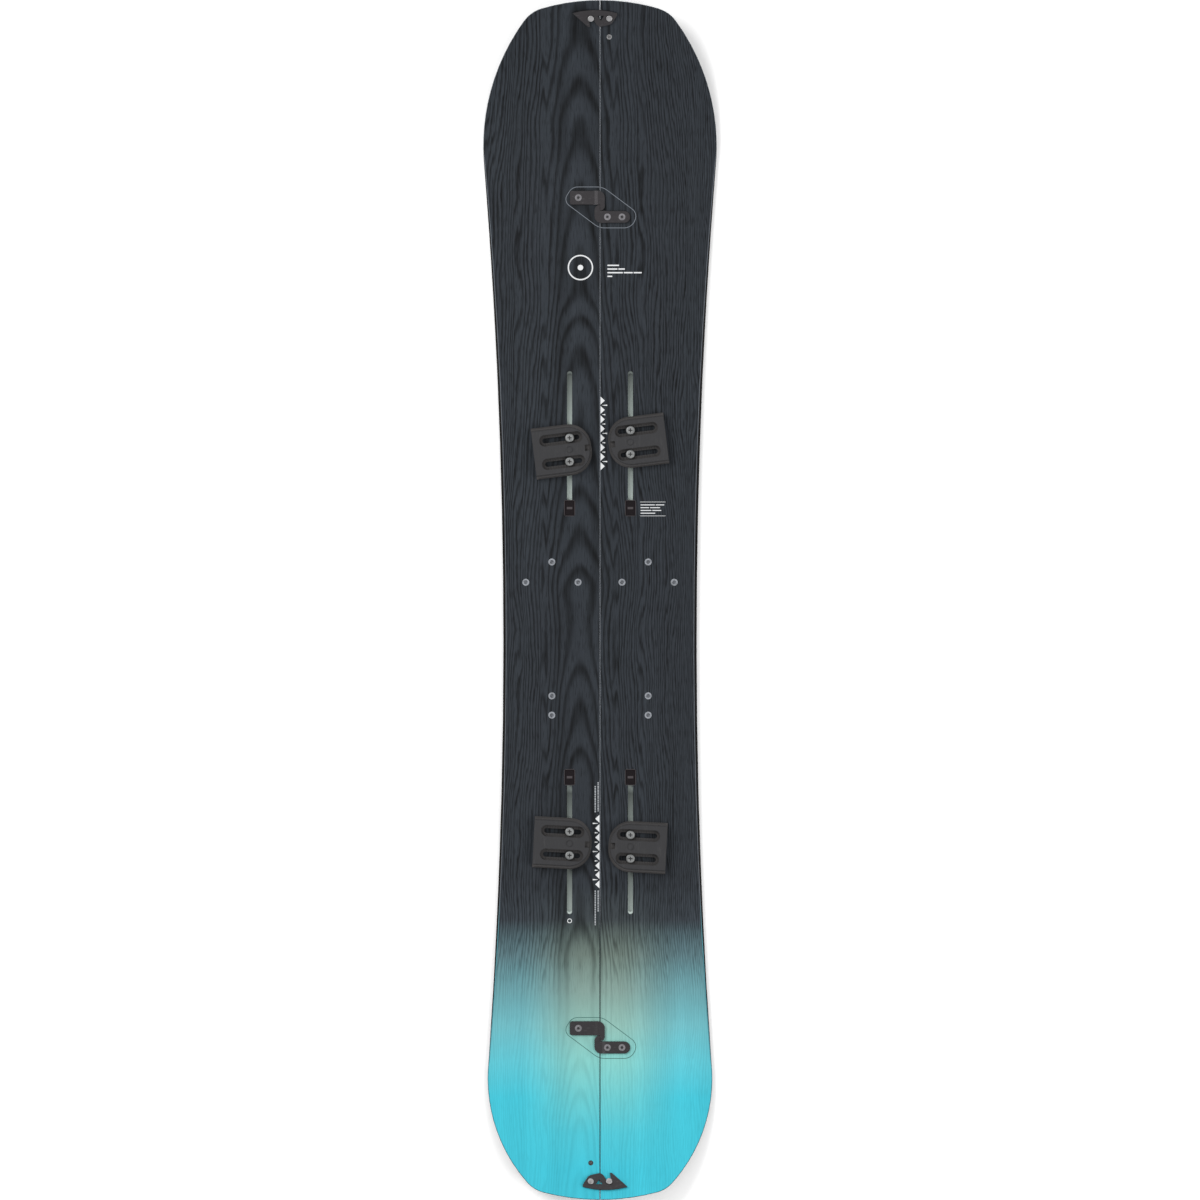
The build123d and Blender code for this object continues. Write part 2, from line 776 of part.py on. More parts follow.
# ---- tip clips ----
for end_name, end in {"nose": 1, "tail": -1}.items():
    pivot = tip_plane(end, end * clip_pivot_x, end * clip_pivot_y)
    clip_plane = Plane(origin=pivot.origin, x_dir=(-end, 0, 0), z_dir=pivot.z_dir)
    with BuildPart() as clip:
        with BuildSketch(clip_plane.offset(clip_gap)):
            with BuildLine():
                outer_edge = ThreePointArc((-10.4, -6.9), (11.8, -10.8), (47.7, -6.9))
                nose_slant = Line(outer_edge @ 1, (27.2, 11.7))
                beak = Line(nose_slant @ 1, (24.9, 11.4))
                notch_right = Line(beak @ 1, (26.7, 0))
                notch_end = ThreePointArc(notch_right @ 1, (stud_distance, -2.3), (21.7, 0))
                notch_left = Line(notch_end @ 1, (16.3, 8.7))
                top_right = Line(notch_left @ 1, (12.2, 11.4))
                top_left = Polyline(top_right @ 1, (0, 8.7), (-3.8, 6.4), (-10.4, -4.3))
                Line(top_left @ 1, outer_edge @ 0)
            make_face()
            Circle(rivet_radius + rivet_running_clearance, mode=Mode.SUBTRACT)
            with BuildLine():
                Polyline((6.6, -3.6), (15.2, -3.6), (10.9, 3.1), close=True)
            make_face(mode=Mode.SUBTRACT)
        extrude(amount=clip_thickness)
    write(clip, f"{end_name}_clip")


# ---- half pucks ----
def puck_plan(half_height, outer, inner, radius):
    """D-shaped outline: straight outer edge, rounded inner end."""
    with BuildSketch(mode=Mode.PRIVATE) as plan:
        with Locations(((inner - outer) / 2, 0)):
            Rectangle(inner + outer, 2 * half_height)
        corners = plan.vertices().group_by(Axis.X)
        fillet(corners[-1], radius)
    return plan.sketch


for place, (pair_y, turn) in {
    "front": (front_puck_y, front_puck_turn),
    "rear": (rear_puck_y, rear_puck_turn),
}.items():
    for name, side in sides.items():
        centre_x = side * channel_x
        centre_y = pair_y + centre_x * math.tan(math.radians(turn))
        facing = math.radians(turn + (0 if side < 0 else 180))
        inward = (math.cos(facing), math.sin(facing), 0)
        seat = deck_plane(centre_x, centre_y, inward)
        slide_plane = deck_plane(centre_x, centre_y)
        steps = [
            (puck_lift, puck_foot_top, puck_half_height, 0.0),
            (puck_foot_top, puck_rail_bottom, puck_groove_half, puck_groove_inset),
            (puck_rail_bottom, puck_rail_top, puck_rail_half, puck_rail_inset),
            (puck_rail_top, puck_top, puck_crown_half, puck_crown_inset),
        ]
        screw_step = recess_y / math.cos(math.radians(turn))
        with BuildPart() as puck:
            for low, high, half_height, inset in steps:
                plan = puck_plan(
                    half_height, puck_outer_reach, puck_inner_reach - inset, puck_end_radius - inset
                )
                with BuildSketch(seat.offset(low)):
                    add(plan)
                extrude(amount=high - low)
            crown = puck.faces().sort_by(Axis(seat.origin, seat.z_dir))[-1]
            chamfer(crown.edges(), puck_chamfer)
            recess_length = recess_inner - recess_outer
            for row in (-recess_y, recess_y):
                recess_centre = ((recess_outer + recess_inner) / 2, row)
                with BuildSketch(seat.offset(recess_floor)):
                    with Locations(recess_centre):
                        SlotOverall(recess_length, recess_width)
                extrude(amount=puck_top, mode=Mode.SUBTRACT)
                with BuildSketch(seat):
                    with Locations(recess_centre):
                        SlotOverall(recess_length - puck_slot_shorter, puck_slot_width)
                extrude(amount=puck_top, mode=Mode.SUBTRACT)
                with BuildSketch(seat.offset(recess_floor - tooth_depth)):
                    with Locations(recess_centre):
                        with GridLocations(tooth_pitch, 0, tooth_count, 1):
                            Rectangle(tooth_gap, recess_width - 2 * tooth_margin)
                extrude(amount=puck_top, mode=Mode.SUBTRACT)
            with BuildSketch(seat.offset(puck_rail_bottom)):
                with Locations((puck_inner_reach - lock_notch_centre, 0)):
                    Rectangle(lock_notch_length, lock_notch_width)
            extrude(amount=puck_top, mode=Mode.SUBTRACT)
            with BuildSketch(seat.offset(puck_top - index_ring_depth)):
                Circle(index_ring_outer)
                Circle(index_ring_inner, mode=Mode.SUBTRACT)
            extrude(amount=puck_top, mode=Mode.SUBTRACT)
        write(puck, f"{place}_{name}_puck")

        screw_offsets = [(0, -screw_step), (0, screw_step)]
        with BuildPart() as washers:
            with BuildSketch(slide_plane.offset(recess_floor)):
                with Locations(*screw_offsets):
                    Circle(washer_radius)
                    Circle(screw_shank_radius, mode=Mode.SUBTRACT)
            extrude(amount=washer_height)
        write(washers, f"{place}_{name}_puck_washers")

        nut_top = -(above_core + rail_lip + nut_gap)
        head_seat = recess_floor + washer_height
        with BuildPart() as puck_screws:
            with BuildSketch(slide_plane.offset(nut_top - nut_height)):
                with Locations(*screw_offsets):
                    Circle(screw_shank_radius)
            extrude(amount=head_seat - nut_top + nut_height)
            with BuildSketch(slide_plane.offset(head_seat)):
                with Locations(*screw_offsets):
                    Circle(screw_head_radius)
            extrude(amount=screw_head_height)
            crown_edges = puck_screws.edges().filter_by(GeomType.CIRCLE)
            crown_edges = crown_edges.group_by(Axis(slide_plane.origin, slide_plane.z_dir))[-1]
            fillet(crown_edges, screw_head_fillet)
            with BuildSketch(slide_plane.offset(head_seat + screw_head_height - cross_depth)):
                with Locations(*screw_offsets):
                    Rectangle(cross_length, cross_width)
                    Rectangle(cross_width, cross_length)
            extrude(amount=2 * cross_depth, mode=Mode.SUBTRACT)
        write(puck_screws, f"{place}_{name}_puck_screws")

        with BuildPart() as nuts:
            with BuildSketch(slide_plane.offset(nut_top - nut_height)):
                with Locations(*screw_offsets):
                    RectangleRounded(nut_width, nut_length, nut_corner)
                    Circle(screw_shank_radius, mode=Mode.SUBTRACT)
            extrude(amount=nut_height)
        write(nuts, f"{place}_{name}_channel_nuts")
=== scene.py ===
import json
import math
import random

import bmesh
import bpy
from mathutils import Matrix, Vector
from mathutils.bvhtree import BVHTree


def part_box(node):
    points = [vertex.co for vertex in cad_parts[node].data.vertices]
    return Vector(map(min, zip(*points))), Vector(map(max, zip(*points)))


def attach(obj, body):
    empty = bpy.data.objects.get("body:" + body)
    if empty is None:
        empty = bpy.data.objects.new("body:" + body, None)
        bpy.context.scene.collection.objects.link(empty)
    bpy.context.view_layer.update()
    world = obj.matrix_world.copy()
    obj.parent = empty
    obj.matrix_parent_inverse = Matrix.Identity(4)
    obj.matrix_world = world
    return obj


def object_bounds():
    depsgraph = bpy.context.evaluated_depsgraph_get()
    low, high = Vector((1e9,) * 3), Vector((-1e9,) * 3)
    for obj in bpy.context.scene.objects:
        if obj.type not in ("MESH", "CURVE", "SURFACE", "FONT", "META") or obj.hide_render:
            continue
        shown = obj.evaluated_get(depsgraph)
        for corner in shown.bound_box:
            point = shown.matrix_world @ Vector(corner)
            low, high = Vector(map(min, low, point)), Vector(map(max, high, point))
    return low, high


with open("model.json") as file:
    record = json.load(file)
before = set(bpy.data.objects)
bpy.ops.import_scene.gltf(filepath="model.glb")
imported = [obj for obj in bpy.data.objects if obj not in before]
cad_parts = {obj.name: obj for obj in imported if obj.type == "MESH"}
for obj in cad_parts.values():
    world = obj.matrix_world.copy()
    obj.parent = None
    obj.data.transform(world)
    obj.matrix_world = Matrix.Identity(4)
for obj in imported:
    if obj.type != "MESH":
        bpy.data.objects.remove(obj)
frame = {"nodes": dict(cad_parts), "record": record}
cad_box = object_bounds()
high_corner = Vector(cad_box[1])
half_length = high_corner.y
nodes = frame["nodes"]
halves = {"left": -1, "right": 1}
MM = 0.001
studio_gain = 1.5  # a white surface under the lamps is this much brighter than screen white

# The veneer's grain: growth rings cut at a slant, mirrored about one line along the board
grain_axis_x = -26 * MM
ring_pitch = 4.2 * MM
side_ring_gain = 450.0  # growth rings crowd together towards the board's sides
tail_depth = 30 * MM  # how far below the rings' centre the veneer was cut, at the tail and at the nose
nose_depth = 120 * MM
depth_reach = 4 * MM
wander_reach = 13 * MM  # furthest that slow, middling and fine waves push a ring sideways
sway_reach = 3.4 * MM
fray_reach = 0.7 * MM
calm_width = 50 * MM  # the waves grow from nothing at the grain's axis to their full reach here
dark_column_x = 23 * MM  # distance from the axis of a darker column on each side of it

# Where the stain turns from dark to turquoise, from the first colour stop to the last
fade_start = -370 * MM
fade_end = -740 * MM

plug_bar_half = (3.5 * MM, 1.4 * MM)
plug_rim_edge = (0.35 * MM, 0.8 * MM)
# Depths below a top over which puck recess floors get painted light and screws' driver recesses get painted
# shade
puck_recess_depth = (2.0 * MM, 3.5 * MM)
screw_recess_depth = {"hook_screws": 1.3 * MM, "puck_screws": 2.2 * MM}
screw_colour = {"hook_screws": (138, 136, 140), "puck_screws": (150, 152, 152)}

hook_y = {}
for end in ("nose", "tail"):
    low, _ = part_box(f"right_{end}_hook")
    _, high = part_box(f"left_{end}_hook")
    hook_y[end] = (low[1] + high[1]) / 2


# ---- node helpers ----
def linear(r, g, b):
    """The surface colour that looks like this 8-bit screen colour under the studio lamps."""
    def one(c):
        c = c / 255
        return (c / 12.92 if c <= 0.04045 else ((c + 0.055) / 1.055) ** 2.4) / studio_gain
    return (one(r), one(g), one(b), 1.0)


class Shader:
    """A material's node tree, with short calls for the nodes used here."""

    def __init__(self, name):
        self.material = bpy.data.materials.new(name)
        self.material.use_nodes = True
        self.tree = self.material.node_tree
        self.bsdf = self.tree.nodes["Principled BSDF"]
        self.place = self.add("ShaderNodeTexCoord").outputs["Object"]
        self.x, self.y, self.z = self.parts(self.place)

    def add(self, kind, **settings):
        node = self.tree.nodes.new(kind)
        for key, value in settings.items():
            setattr(node, key, value)
        return node

    def link(self, source, target):
        self.tree.links.new(source, target)

    def put(self, socket, value):
        if isinstance(value, bpy.types.NodeSocket):
            self.link(value, socket)
        else:
            socket.default_value = value

    def math(self, operation, first, second=0.0, clamp=False):
        node = self.add("ShaderNodeMath", operation=operation, use_clamp=clamp)
        self.put(node.inputs[0], first)
        self.put(node.inputs[1], second)
        return node.outputs[0]

    def vector(self, x, y, z=0.0):
        node = self.add("ShaderNodeCombineXYZ")
        for socket, value in zip(node.inputs, (x, y, z)):
            self.put(socket, value)
        return node.outputs[0]

    def parts(self, vector):
        node = self.add("ShaderNodeSeparateXYZ")
        self.link(vector, node.inputs[0])
        return node.outputs

    def distance(self, value, middle):
        return self.math("ABSOLUTE", self.math("SUBTRACT", value, middle))

    def scaled(self, x, y, z):
        """Object coordinates multiplied by a scale on each axis."""
        node = self.add("ShaderNodeMapping")
        node.inputs["Scale"].default_value = (x, y, z)
        self.link(self.place, node.inputs["Vector"])
        return node.outputs[0]

    def noise(self, where, scale=1.0, detail=2.0, roughness=0.5):
        node = self.add("ShaderNodeTexNoise")
        self.link(where, node.inputs["Vector"])
        node.inputs["Scale"].default_value = scale
        node.inputs["Detail"].default_value = detail
        node.inputs["Roughness"].default_value = roughness
        return node.outputs["Fac"]

    def span(self, value, low, high, to_low=0.0, to_high=1.0, smooth=False):
        node = self.add("ShaderNodeMapRange")
        if smooth:
            node.interpolation_type = "SMOOTHSTEP"
        for socket, number in zip(node.inputs, (value, low, high, to_low, to_high)):
            self.put(socket, number)
        return node.outputs[0]

    def swing(self, noise, reach):
        """Noise turned into a shift of up to reach either way."""
        return self.span(noise, 0.25, 0.75, -reach, reach)

    def ramp(self, value, stops):
        node = self.add("ShaderNodeValToRGB")
        elements = node.color_ramp.elements
        while len(elements) < len(stops):
            elements.new(0.5)
        for element, (position, colour) in zip(elements, stops):
            element.position = position
            element.color = colour
        self.link(value, node.inputs[0])
        return node.outputs[0]

    def mix(self, factor, first, second, blend="MIX"):
        node = self.add("ShaderNodeMix", data_type="RGBA", blend_type=blend)
        self.put(node.inputs[0], factor)
        self.put(node.inputs[6], first)
        self.put(node.inputs[7], second)
        return node.outputs[2]

    def bump(self, height, distance, strength=1.0):
        node = self.add("ShaderNodeBump")
        node.inputs["Strength"].default_value = strength
        node.inputs["Distance"].default_value = distance
        self.link(height, node.inputs["Height"])
        self.link(node.outputs[0], self.bsdf.inputs["Normal"])

    def finish(self, colour, roughness, metallic=0.0, specular=0.5):
        self.put(self.bsdf.inputs["Base Color"], colour)
        self.put(self.bsdf.inputs["Roughness"], roughness)
        self.bsdf.inputs["Metallic"].default_value = metallic
        self.bsdf.inputs["Specular IOR Level"].default_value = specular
        return self.material


# ---- the board's colour along its length ----
def along_board(shader, colours):
    """Colours at even steps from the last dark wood to the tail tip."""
    along = shader.span(shader.y, fade_start, fade_end)
    last = len(colours) - 1
    return shader.ramp(along, [(i / last, linear(*c)) for i, c in enumerate(colours)])


edge_colours = [
    (40, 44, 49), (50, 56, 62), (85, 113, 119), (105, 159, 166), (112, 188, 197),
    (96, 200, 214), (69, 198, 217), (67, 197, 216), (65, 196, 216),
]
middle_colours = [
    (39, 43, 48), (52, 58, 61), (100, 115, 108), (131, 159, 151), (145, 191, 181),
    (135, 207, 201), (107, 202, 206), (79, 198, 213), (65, 196, 216),
]


def ring_lines(s, across):
    """Growth rings, 0 in their dark lines to 1 between them: nested arches that open towards the tail."""
    wander = s.noise(s.vector(s.math("MULTIPLY", across, 9.0), s.math("MULTIPLY", s.y, 3.0)), detail=2.0)
    sway = s.noise(s.scaled(34.0, 5.5, 1.0), detail=2.0)
    fray = s.noise(s.scaled(420.0, 45.0, 1.0), detail=2.0)
    shift = s.math("ADD", s.swing(wander, wander_reach), s.swing(sway, sway_reach))
    shift = s.math("MULTIPLY", shift, s.span(across, 0.0, calm_width, smooth=True))
    bent = s.math("ADD", s.math("ADD", across, shift), s.swing(fray, fray_reach))
    bent_squared = s.math("MULTIPLY", bent, bent)

    depth_noise = s.noise(s.vector(0.37, s.math("MULTIPLY", s.y, 7.0)), detail=1.0)
    slant = s.span(s.y, -half_length, half_length, tail_depth, nose_depth)
    depth = s.math("ADD", slant, s.swing(depth_noise, depth_reach))
    radius = s.math("SQRT", s.math("ADD", bent_squared, s.math("MULTIPLY", depth, depth)))
    rings = s.math("DIVIDE", radius, ring_pitch)
    rings = s.math("ADD", rings, s.math("MULTIPLY", bent_squared, side_ring_gain))

    years = s.noise(s.vector(s.math("MULTIPLY", across, 55.0), 1.7), detail=2.0)
    years = s.span(years, 0.2, 0.8, -1.2, 1.2)
    years = s.math("MULTIPLY", years, s.span(across, 10 * MM, 50 * MM, smooth=True))
    phase = s.math("FRACT", s.math("ADD", rings, years))
    rise = s.span(phase, 0.0, 0.30, smooth=True)
    fall = s.span(phase, 0.55, 1.0, 1.0, 0.0, smooth=True)
    strength = s.span(s.noise(s.scaled(130.0, 5.0, 1.0), detail=2.0), 0.3, 0.65, 0.55, 1.0)
    darkness = s.math("SUBTRACT", 1.0, s.math("MULTIPLY", rise, fall))
    return s.math("SUBTRACT", 1.0, s.math("MULTIPLY", darkness, strength))


def veneer_grain(s):
    """Height of the grain, 0 in the dark lines to 1 on the ridges, and the dark columns."""
    across = s.distance(s.x, grain_axis_x)
    line = ring_lines(s, across)
    fibre = s.span(s.noise(s.scaled(1000.0, 26.0, 1.0), detail=4.0, roughness=0.65), 0.28, 0.72)
    pores = s.span(s.noise(s.scaled(900.0, 60.0, 1.0), detail=1.0), 0.32, 0.46, 0.55, 1.0)
    grain = s.math("ADD", s.math("MULTIPLY", line, 0.66), s.math("MULTIPLY", fibre, 0.34))
    grain = s.math("MULTIPLY", grain, pores)
    column = s.span(s.distance(across, dark_column_x), 3 * MM, 13 * MM, smooth=True)
    patchy = s.span(s.noise(s.scaled(9.0, 5.0, 1.0), detail=1.0), 0.35, 0.6)
    return grain, s.math("MAXIMUM", column, patchy)


def topsheet_material():
    """Stained veneer: cathedral grain, dark blue-grey fading to turquoise at the tail."""
    s = Shader("stained_veneer")
    grain, open_wood = veneer_grain(s)
    side = s.span(s.math("ABSOLUTE", s.x), 20 * MM, 112 * MM, smooth=True)
    stain = s.mix(side, along_board(s, middle_colours), along_board(s, edge_colours))
    contrast = s.span(s.y, -390 * MM, -520 * MM, 1.0, 0.11)
    low_gain = s.math("SUBTRACT", 1.0, s.math("MULTIPLY", contrast, 0.88))
    high_gain = s.math("ADD", 1.0, s.math("MULTIPLY", contrast, 0.80))
    gain = s.span(grain, 0.05, 0.95, low_gain, high_gain)
    column_gain = s.math("SUBTRACT", 1.0, s.math("MULTIPLY", contrast, 0.34))
    gain = s.math("MULTIPLY", gain, s.span(open_wood, 0.0, 1.0, column_gain, 1.0))
    streaks = s.span(s.noise(s.scaled(26.0, 1.1, 1.0), detail=2.0), 0.3, 0.7, 0.92, 1.08)
    colour = s.mix(1.0, stain, s.math("MULTIPLY", gain, streaks), "MULTIPLY")
    roughness = s.span(grain, 0.0, 1.0, 0.60, 0.50)
    s.bump(grain, 0.00005, 0.4)
    return s.finish(colour, roughness, specular=0.10)


def laminate_material():
    """Upper laminate where it shows: pale slate at the front, dark at the tail's seam, teal at its rim."""
    s = Shader("glass_laminate")
    along = s.span(s.y, -385 * MM, -440 * MM)
    weave = s.noise(s.scaled(1200.0, 300.0, 300.0), detail=2.0)
    rim = s.span(s.math("ABSOLUTE", s.x), 10 * MM, 60 * MM)
    end = s.span(s.y, -595 * MM, -620 * MM)
    rim_colour = s.mix(end, linear(84, 158, 170), linear(40, 98, 110))
    tail = s.mix(rim, linear(18, 40, 44), rim_colour)
    front = s.mix(rim, linear(150, 156, 164), linear(106, 112, 120))
    shade = s.mix(along, front, tail)
    flecked = s.mix(s.span(weave, 0.35, 0.7, 0.0, 0.3), shade, linear(50, 56, 62))
    s.bump(weave, 0.00005)
    return s.finish(flecked, 0.5, specular=0.2)


def dark_laminate_material():
    """Lower laminate: black-tinted resin over glass, which shows as a thin ledge below the sidewall."""
    s = Shader("dark_laminate")
    weave = s.noise(s.scaled(900.0, 300.0, 300.0), detail=2.0)
    s.bump(weave, 0.00005)
    return s.finish(
        s.mix(s.span(weave, 0.35, 0.7), linear(18, 18, 20), linear(34, 34, 37)),
        s.span(weave, 0.3, 0.7, 0.5, 0.62),
        specular=0.05,
    )


def plug_material(name, node):
    """Black moulded plug: its raised bar and its rim's outer edge are paler."""
    s = Shader(name)
    low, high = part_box(node)
    centre_x, centre_y = (low[0] + high[0]) / 2, (low[1] + high[1]) / 2
    from_x = s.distance(s.x, centre_x)
    from_y = s.distance(s.y, centre_y)
    blur = 0.3 * MM
    on_bar = s.math(
        "MULTIPLY",
        s.span(from_x, plug_bar_half[0], plug_bar_half[0] + blur, 1.0, 0.0),
        s.span(from_y, plug_bar_half[1], plug_bar_half[1] + blur, 1.0, 0.0),
    )
    edge_x = s.math("SUBTRACT", (high[0] - low[0]) / 2, from_x)
    edge_y = s.math("SUBTRACT", (high[1] - low[1]) / 2, from_y)
    on_edge = s.span(s.math("MINIMUM", edge_x, edge_y), *plug_rim_edge, 1.0, 0.0)
    grain = s.noise(s.scaled(1400.0, 1400.0, 1400.0), detail=3.0, roughness=0.6)
    plain = s.mix(s.span(grain, 0.35, 0.7), linear(24, 20, 22), linear(38, 33, 35))
    s.bump(grain, 0.0001, 0.5)
    return s.finish(
        s.mix(s.math("MAXIMUM", on_bar, on_edge), plain, linear(80, 75, 77)),
        s.span(grain, 0.3, 0.7, 0.48, 0.62),
        specular=0.05,
    )


def puck_material(name, node):
    """Fine-grained moulded plastic with faint scuffs; the floors of its recesses are painted lighter,
    lifting the shade that falls in them.
    """
    s = Shader(name)
    grain = s.noise(s.scaled(1400.0, 1400.0, 1400.0), detail=3.0, roughness=0.6)
    scuffs = s.noise(s.scaled(420.0, 60.0, 200.0), detail=5.0, roughness=0.7)
    patches = s.noise(s.scaled(35.0, 35.0, 35.0), detail=2.0)
    worn = s.math("MULTIPLY", s.span(scuffs, 0.52, 0.75), s.span(patches, 0.35, 0.7))
    plain = s.mix(worn, linear(58, 58, 60), linear(78, 78, 79))
    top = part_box(node)[1][2]
    below = s.math("SUBTRACT", top, s.z)
    facing_up = s.parts(s.add("ShaderNodeTexCoord").outputs["Normal"])[2]
    # Painted light: upward-facing recess floors 2 to 3.5 mm below the top are mixed towards a paler grey to
    # offset their shade
    recess_painted_light = s.math("MULTIPLY", s.span(below, *puck_recess_depth), s.span(facing_up, 0.7, 0.95))
    s.bump(grain, 0.00012, 0.55)
    return s.finish(
        s.mix(recess_painted_light, plain, linear(72, 70, 70)),
        s.span(grain, 0.3, 0.7, 0.49, 0.63),
        specular=0.15,
    )


def coated_metal_material(name, colour, worn_colour):
    """Black coated metal plate: orange-peel coating, with the finish rubbed in places."""
    s = Shader(name)
    peel = s.noise(s.scaled(1100.0, 1100.0, 1100.0), detail=2.0)
    rub = s.noise(s.scaled(160.0, 520.0, 200.0), detail=5.0, roughness=0.72)
    worn = s.span(rub, 0.56, 0.78)
    s.bump(peel, 0.00009, 0.5)
    return s.finish(
        s.mix(worn, linear(*colour), linear(*worn_colour)),
        s.span(peel, 0.3, 0.7, 0.36, 0.5),
        metallic=0.35,
        specular=0.45,
    )


def bare_metal_material(name, colour, brush=(900.0, 60.0, 900.0), roughness=0.34):
    """Bare metal with fine brushed or turned lines and small stains."""
    s = Shader(name)
    lines = s.noise(s.scaled(*brush), detail=4.0, roughness=0.65)
    stain = s.noise(s.scaled(220.0, 220.0, 220.0), detail=3.0)
    dull = tuple(int(c * 0.78) for c in colour)
    s.bump(lines, 0.00005, 0.6)
    return s.finish(
        s.mix(s.span(stain, 0.45, 0.75), linear(*colour), linear(*dull)),
        s.span(lines, 0.3, 0.7, roughness - 0.08, roughness + 0.12),
        metallic=1.0,
    )


def screw_material(name, node, colour, recess):
    """Bright screw whose driver recess is darkened with painted shade; the heads' tops differ on each side
    of y = 0.
    """
    s = Shader(name)
    tops = {}
    for end in (-1, 1):
        heights = [v.co.z for v in nodes[node].data.vertices if end * v.co.y > 0]
        tops[end] = max(heights, default=0.0)
    top = s.span(s.math("GREATER_THAN", s.y, 0.0), 0.0, 1.0, tops[-1], tops[1])
    below = s.math("SUBTRACT", top, s.z)
    # Painted shade: below the head's top, the driver recess is mixed towards a dark grey where shade falls
    # in it
    recess_painted_shade = s.span(below, recess * 0.45, recess * 0.75)
    lines = s.noise(s.scaled(900.0, 900.0, 900.0), detail=3.0)
    stain = s.span(s.noise(s.scaled(260.0, 260.0, 260.0), detail=3.0), 0.45, 0.75)
    face = s.mix(stain, linear(*colour), linear(*(int(c * 0.75) for c in colour)))
    s.bump(lines, 0.00005, 0.6)
    return s.finish(
        s.mix(recess_painted_shade, face, linear(62, 62, 64)),
        s.span(lines, 0.3, 0.7, 0.34, 0.5),
        metallic=0.35,
        specular=0.4,
    )


def channel_material():
    """Satin rail whose tone is painted light: again and again along each slot, from the front slots' outer
    end, it starts as painted shade where the pucks' shadow falls and brightens to a painted sheen.
    """
    s = Shader("rail_satin")
    repeat = s.math("FRACT", s.math("DIVIDE", s.math("SUBTRACT", 298 * MM, s.y), 91.5 * MM))
    # Painted light: the dark stops are painted shade and the bright stop is a painted sheen on the rail
    tone = s.ramp(repeat, [
        (0.0, linear(98, 106, 102)), (0.8, linear(216, 230, 224)), (1.0, linear(108, 116, 112)),
    ])
    streak = s.noise(s.scaled(1500.0, 12.0, 1500.0), detail=3.0)
    s.bump(streak, 0.00004, 0.6)
    return s.finish(
        s.mix(s.span(streak, 0.35, 0.7, 0.0, 0.25), tone, linear(120, 130, 128)),
        s.span(streak, 0.3, 0.7, 0.38, 0.52),
        metallic=0.15,
        specular=0.4,
    )


def sidewall_material(name, colour, light, specular):
    """Sanded sidewall with fine lines along the board."""
    s = Shader(name)
    sanding = s.noise(s.scaled(700.0, 18.0, 1600.0), detail=4.0, roughness=0.7)
    s.bump(sanding, 0.00007, 0.6)
    return s.finish(
        s.mix(s.span(sanding, 0.5, 0.75), linear(*colour), linear(*light)),
        s.span(sanding, 0.3, 0.7, 0.48, 0.66),
        specular=specular,
    )


def base_material():
    """Sintered base: graphite black with pale grains and a fine ground structure."""
    s = Shader("sintered_base")
    grains = s.noise(s.scaled(1000.0, 1000.0, 1000.0), detail=2.0)
    structure = s.noise(s.scaled(1300.0, 16.0, 40.0), detail=3.0)
    clouds = s.noise(s.scaled(14.0, 4.0, 10.0), detail=3.0)
    dark = s.mix(s.span(clouds, 0.3, 0.7), linear(26, 27, 29), linear(35, 36, 39))
    s.bump(structure, 0.00004, 0.6)
    return s.finish(
        s.mix(s.span(grains, 0.60, 0.72), dark, linear(62, 64, 68)),
        s.span(structure, 0.3, 0.7, 0.30, 0.46),
        specular=0.4,
    )


def core_material():
    """Raw wood strips glued side by side."""
    s = Shader("core_strips")
    strip = s.noise(s.vector(s.math("FLOOR", s.math("MULTIPLY", s.x, 62.0)), 0.5), scale=7.3)
    fibre = s.noise(s.scaled(700.0, 10.0, 300.0), detail=4.0)
    wood = s.mix(s.span(strip, 0.3, 0.7), linear(190, 158, 112), linear(222, 196, 152))
    s.bump(fibre, 0.00006, 0.5)
    return s.finish(s.mix(s.span(fibre, 0.4, 0.8, 0.0, 0.5), wood, linear(150, 112, 70)), 0.65)


def ink_material(name, colour, thin):
    """Printed ink, a little uneven where it lies on the grain."""
    s = Shader(name)
    patch = s.noise(s.scaled(800.0, 60.0, 100.0), detail=3.0)
    s.bump(patch, 0.00002, 0.4)
    return s.finish(
        s.mix(s.span(patch, 0.45, 0.8, 0.0, 0.4), linear(*colour), linear(*thin)),
        s.span(patch, 0.3, 0.7, 0.45, 0.6),
        specular=0.25,
    )


finishes = {
    "topsheet": topsheet_material(),
    "laminate": laminate_material(),
    "base": base_material(),
    "wood_core": core_material(),
    "sidewall": sidewall_material("black_sidewall", (13, 12, 13), (30, 29, 30), 0.05),
    "seam_sidewall": sidewall_material("slate_sidewall", (74, 84, 94), (98, 108, 118), 0.3),
    "channel": channel_material(),
    "insert": bare_metal_material("insert_metal", (176, 180, 187), (600.0, 600.0, 60.0), 0.45),
    "black_metal": coated_metal_material("coated_plate", (48, 45, 48), (84, 81, 84)),
    "rivet": bare_metal_material("rivet_metal", (188, 187, 188), (500.0, 500.0, 60.0), 0.42),
    "washer": coated_metal_material("oxide_washer", (44, 44, 44), (70, 70, 70)),
    "steel": bare_metal_material("bright_steel", (190, 190, 192)),
}
dark_laminate = dark_laminate_material()


def finish_of(node, slot):
    """The finish of one node; some nodes have a finish of their own within their slot."""
    if node.endswith("lower_laminate"):
        return dark_laminate
    if node.endswith("channel_plug"):
        return plug_material(node, node)
    if slot == "puck_plastic":
        return puck_material(node, node)
    # Painted highlight: the nose eyelet is given bright steel so that it shows as the bright dot of light
    # seen through its hole
    if node == "right_nose_eyelet":
        return finishes["steel"]
    for kind, recess in screw_recess_depth.items():
        if node.endswith(kind):
            return screw_material(node, node, screw_colour[kind], recess)
    return finishes[slot]


for entry in frame["record"]["subparts"]:
    slots = nodes[entry["node"]].data.materials
    slots.clear()
    slots.append(finish_of(entry["node"], entry["material_slot"]))


